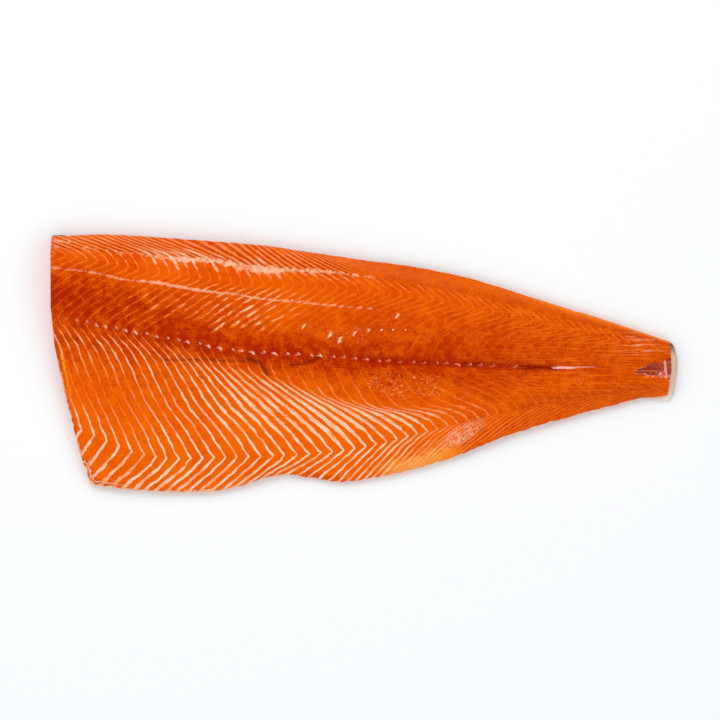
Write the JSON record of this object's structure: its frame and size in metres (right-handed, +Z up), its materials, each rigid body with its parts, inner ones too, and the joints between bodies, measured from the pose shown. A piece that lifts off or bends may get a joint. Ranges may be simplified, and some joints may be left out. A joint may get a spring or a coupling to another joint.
{
  "type": "salmon side fillet",
  "caption": "Whole raw salmon side lying flat, skin down, with W-shaped muscle layers showing on the flesh, for a board, tray, counter or ice display.",
  "frame": {"origin": "centre of the bounding box in plan, on the plane that the skin rests on", "axes": "+X from the head cut to the tail, +Y from the belly edge to the back edge, +Z up out of the flesh"},
  "size_m": [0.565, 0.2326, 0.027],
  "materials": {
    "raw_flesh": "moist satin, orange muscle with pale fat stripes",
    "fish_skin": "wet silver scales, dark along the back"
  },
  "bodies": {
    "root": {"flesh": "raw_flesh", "skin": "fish_skin"}
  },
  "joints": []
}
